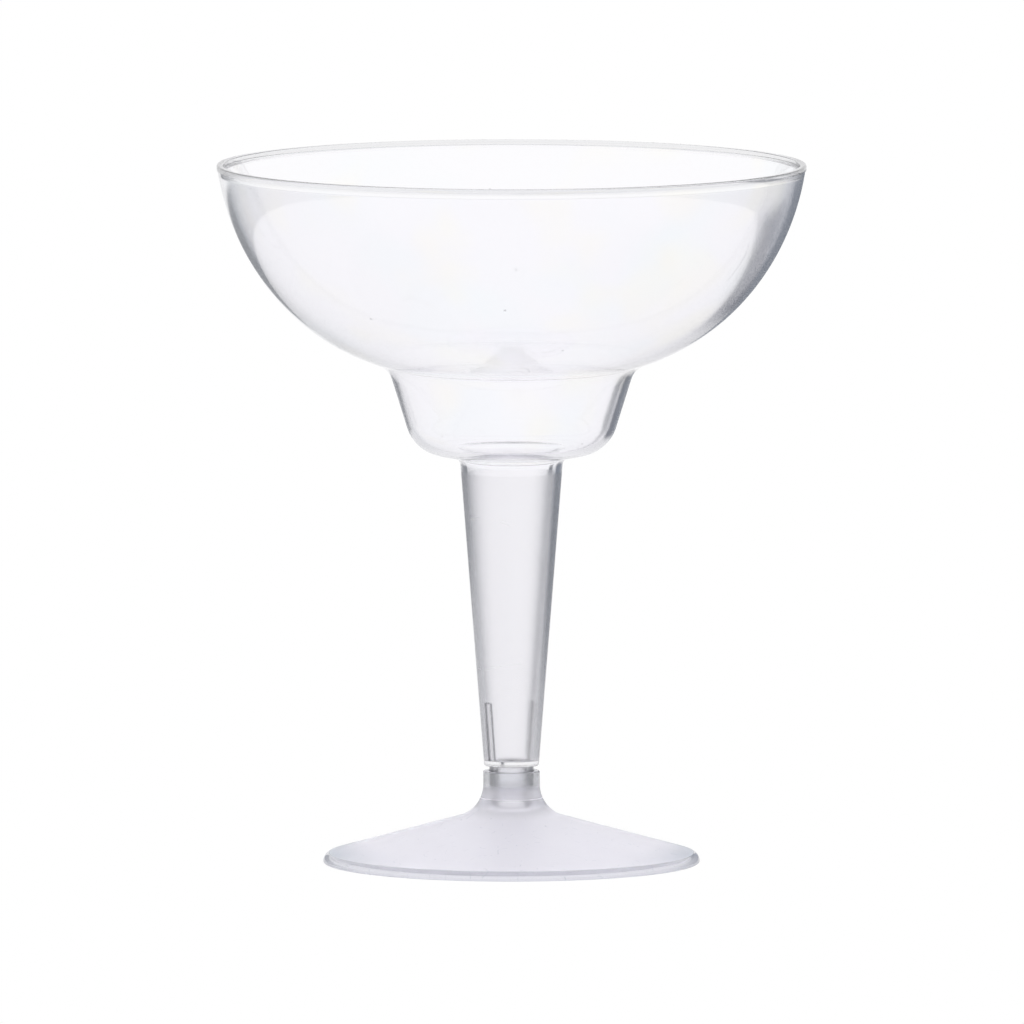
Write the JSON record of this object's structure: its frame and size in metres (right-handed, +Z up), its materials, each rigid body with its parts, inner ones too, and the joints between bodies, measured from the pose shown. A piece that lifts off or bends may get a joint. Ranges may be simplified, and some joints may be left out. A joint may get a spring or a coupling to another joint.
{
  "type": "stemmed drinking glass",
  "caption": "Clear plastic stemmed glass with a wide stepped bowl and a hollow tapered stem, pushed into the collar of a separate frosted foot.",
  "frame": {"origin": "on the glass's axis, on the surface that the foot stands on", "axes": "+Z up along the axis of the bowl, stem and foot; the ribs inside the stem lie 32 degrees from +X"},
  "size_m": [0.12, 0.12, 0.1426],
  "materials": {
    "clear_plastic": "clear polished polystyrene, faintly blue-grey at its edges",
    "frosted_plastic": "clear polystyrene, frosted on the cone and flare, polished on the collar and the edge"
  },
  "bodies": {
    "foot": {"foot": "frosted_plastic"},
    "bowl_and_stem": {"bowl_and_stem": "clear_plastic"}
  },
  "joints": [
    {"name": "stem_lift", "type": "slide", "parent": "foot", "child": "bowl_and_stem", "axis": [0, 0, 1], "range_m": [0, 0.02]}
  ]
}
